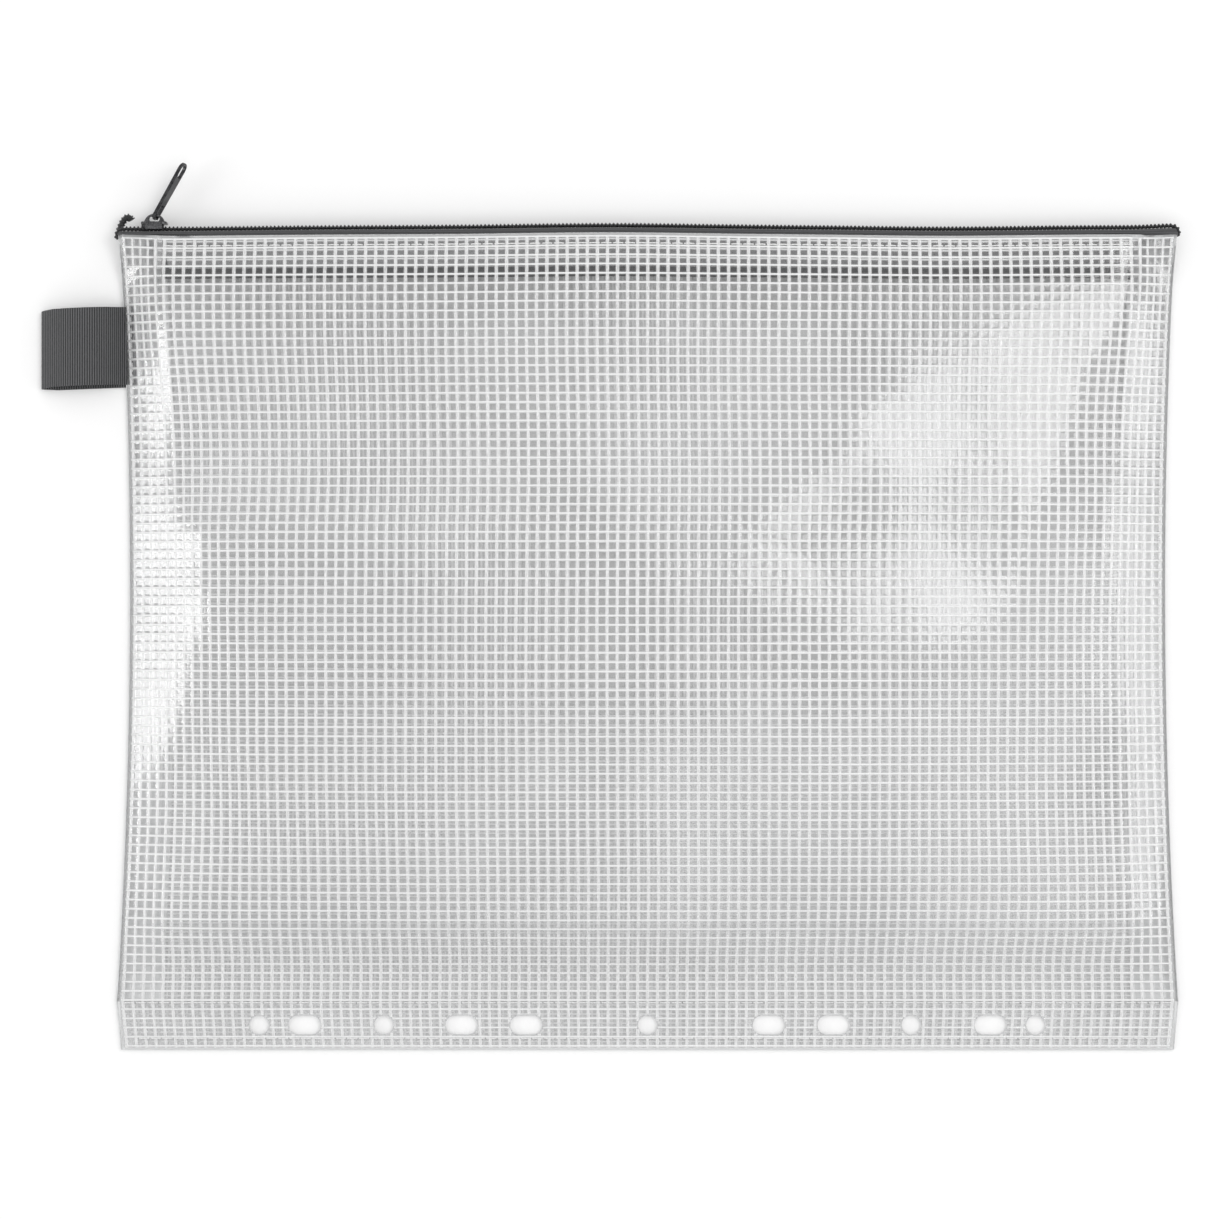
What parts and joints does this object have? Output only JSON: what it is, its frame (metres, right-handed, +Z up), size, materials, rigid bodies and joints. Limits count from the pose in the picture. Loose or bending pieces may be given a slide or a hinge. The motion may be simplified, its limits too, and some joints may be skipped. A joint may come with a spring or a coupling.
{
  "type": "zip document wallet",
  "caption": "Zip document wallet of clear mesh film with a coil zip, sliding pull, ribbon loop and punched filing strip.",
  "frame": {"origin": "middle of the pouch on the flat resting face of the back panel", "axes": "+X along the zip to the picture's right, +Y from the filing strip to the zip, +Z up out of the front panel"},
  "size_m": [0.3516, 0.2737, 0.03],
  "materials": {
    "film": "clear gloss film with a white scrim grid",
    "zip_tape": "woven polyester tape",
    "coil": "nylon coil",
    "metal": "dark gunmetal",
    "ribbon": "ribbed grosgrain",
    "thread": "white sewing thread"
  },
  "bodies": {
    "pouch": {"front_panel": "film", "back_panel": "film", "front_zip_tape": "zip_tape", "back_zip_tape": "zip_tape", "front_zip_coil": "coil", "back_zip_coil": "coil", "ribbon_tail": "ribbon", "front_mouth_stitching": "thread", "back_mouth_stitching": "thread", "strip_seam_stitching": "thread", "strip_edge_stitching": "thread", "left_seam_stitching": "thread", "right_seam_stitching": "thread"},
    "slider": {"slider_body": "metal"},
    "pull": {"pull_tab": "metal"},
    "loop": {"ribbon_loop": "ribbon"}
  },
  "joints": [
    {"name": "zip_slide", "type": "slide", "parent": "pouch", "child": "slider", "axis": [1, 0, 0], "range_m": [0, 0.3], "deforming": ["front_zip_coil", "back_zip_coil"]},
    {"name": "pull_hinge", "type": "hinge", "parent": "slider", "child": "pull", "pos_m": [-0.152, 0.1309, 0.005], "axis": [0, 0, 1], "range_deg": [-37, 89]},
    {"name": "loop_hinge", "type": "hinge", "parent": "pouch", "child": "loop", "pos_m": [-0.16237, 0.0918, 0.00078], "axis": [0, 1, 0], "range_deg": [-85, 66]}
  ]
}
